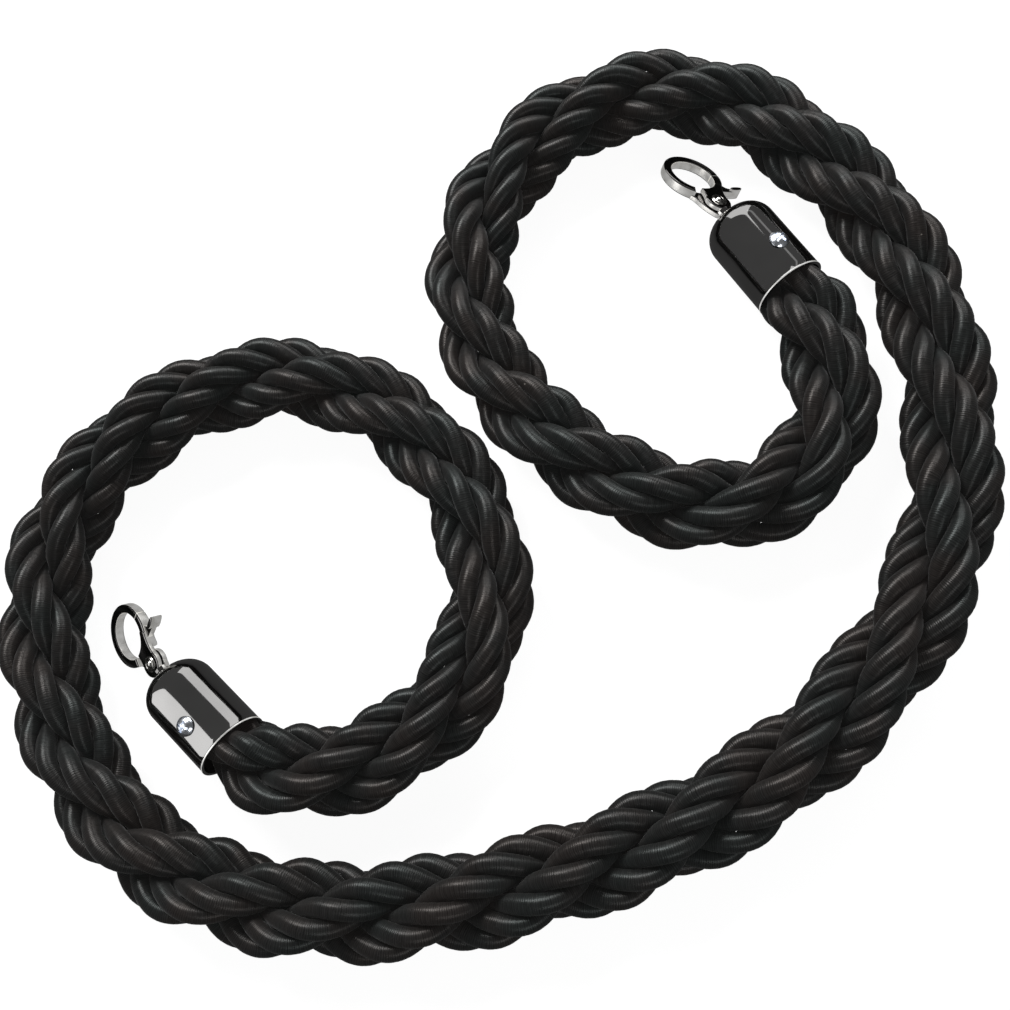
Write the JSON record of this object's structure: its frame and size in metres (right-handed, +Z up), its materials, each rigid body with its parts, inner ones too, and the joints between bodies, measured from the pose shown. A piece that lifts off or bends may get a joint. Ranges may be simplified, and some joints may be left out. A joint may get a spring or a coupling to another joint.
{
  "type": "barrier rope",
  "caption": "Twisted satin barrier rope lying in an S of loops, with a plated metal cap at each end, each carrying a swivelling snap hook with a sprung gate.",
  "frame": {"origin": "middle of the footprint of the coiled rope, on the plane it lies on", "axes": "+Z up from the surface the rope lies on; +X and +Y along the surface, cap 1 lies towards -X and cap 2 towards +X"},
  "size_m": [0.3544, 0.3346, 0.0334],
  "materials": {
    "rope_cord": "satin",
    "cap_plating": "polished",
    "hook_plating": "polished",
    "screw_plating": "polished",
    "rivet_steel": "polished",
    "spring_steel": "drawn wire",
    "pin_steel": "machined",
    "binding_tape": "cloth tape"
  },
  "bodies": {
    "rope_1": {"rope_strand_a_1": "rope_cord", "rope_strand_b_1": "rope_cord", "rope_strand_c_1": "rope_cord", "end_cap_1": "cap_plating", "swivel_collar_1": "cap_plating", "cap_screw_1": "screw_plating", "end_binding_1": "binding_tape"},
    "rope_2": {"rope_strand_a_2": "rope_cord", "rope_strand_b_2": "rope_cord", "rope_strand_c_2": "rope_cord"},
    "rope_3": {"rope_strand_a_3": "rope_cord", "rope_strand_b_3": "rope_cord", "rope_strand_c_3": "rope_cord"},
    "rope_4": {"rope_strand_a_4": "rope_cord", "rope_strand_b_4": "rope_cord", "rope_strand_c_4": "rope_cord"},
    "rope_5": {"rope_strand_a_5": "rope_cord", "rope_strand_b_5": "rope_cord", "rope_strand_c_5": "rope_cord"},
    "rope_6": {"rope_strand_a_6": "rope_cord", "rope_strand_b_6": "rope_cord", "rope_strand_c_6": "rope_cord"},
    "rope_7": {"rope_strand_a_7": "rope_cord", "rope_strand_b_7": "rope_cord", "rope_strand_c_7": "rope_cord", "end_cap_2": "cap_plating", "swivel_collar_2": "cap_plating", "cap_screw_2": "screw_plating", "end_binding_2": "binding_tape"},
    "hook_1": {"hook_body_1": "hook_plating", "gate_rivet_1": "rivet_steel", "gate_spring_1": "spring_steel", "swivel_pin_1": "pin_steel", "swivel_washer_1": "pin_steel"},
    "gate_1": {"hook_gate_1": "hook_plating"},
    "hook_2": {"hook_body_2": "hook_plating", "gate_rivet_2": "rivet_steel", "gate_spring_2": "spring_steel", "swivel_pin_2": "pin_steel", "swivel_washer_2": "pin_steel"},
    "gate_2": {"hook_gate_2": "hook_plating"}
  },
  "joints": [
    {"name": "bend_3", "type": "hinge", "parent": "rope_4", "child": "rope_3", "pos_m": [-0.00486, -0.14698, 0.01675], "axis": [-0.2076, 0.9782, 0], "range_deg": [-10, 10]},
    {"name": "bend_2", "type": "hinge", "parent": "rope_3", "child": "rope_2", "pos_m": [-0.15907, -0.06098, 0.01675], "axis": [0.9802, 0.1981, 0], "range_deg": [-20, 20]},
    {"name": "bend_1", "type": "hinge", "parent": "rope_2", "child": "rope_1", "pos_m": [-0.02847, 0.01852, 0.01675], "axis": [-0.6191, -0.7853, 0], "range_deg": [-20, 20]},
    {"name": "bend_4", "type": "hinge", "parent": "rope_4", "child": "rope_5", "pos_m": [0.15299, -0.0383, 0.01675], "axis": [0.9184, -0.3957, 0], "range_deg": [-10, 10]},
    {"name": "bend_5", "type": "hinge", "parent": "rope_5", "child": "rope_6", "pos_m": [0.09999, 0.13915, 0.01675], "axis": [0.5579, 0.8299, 0], "range_deg": [-20, 20]},
    {"name": "bend_6", "type": "hinge", "parent": "rope_6", "child": "rope_7", "pos_m": [0.0074, 0.03412, 0.01675], "axis": [-0.8257, -0.5642, 0], "range_deg": [-20, 20]},
    {"name": "hook_swivel_1", "type": "hinge", "parent": "rope_1", "child": "hook_1", "pos_m": [-0.10979, -0.0759, 0.01519], "axis": [-0.7534, 0.6209, -0.2164], "continuous": true},
    {"name": "gate_open_1", "type": "hinge", "parent": "hook_1", "child": "gate_1", "pos_m": [-0.11566, -0.07107, 0.01342], "axis": [0.5125, 0.3482, -0.7849], "range_deg": [0, 30], "stiffness_Nm_per_rad": 0.02, "springref_deg": -20.05},
    {"name": "hook_swivel_2", "type": "hinge", "parent": "rope_7", "child": "hook_2", "pos_m": [0.08966, 0.09803, 0.01519], "axis": [-0.5616, 0.809, -0.1736], "continuous": true},
    {"name": "gate_open_2", "type": "hinge", "parent": "hook_2", "child": "gate_2", "pos_m": [0.08529, 0.10434, 0.01377], "axis": [-0.4143, -0.4567, -0.7873], "range_deg": [0, 30], "stiffness_Nm_per_rad": 0.02, "springref_deg": -20.05}
  ]
}
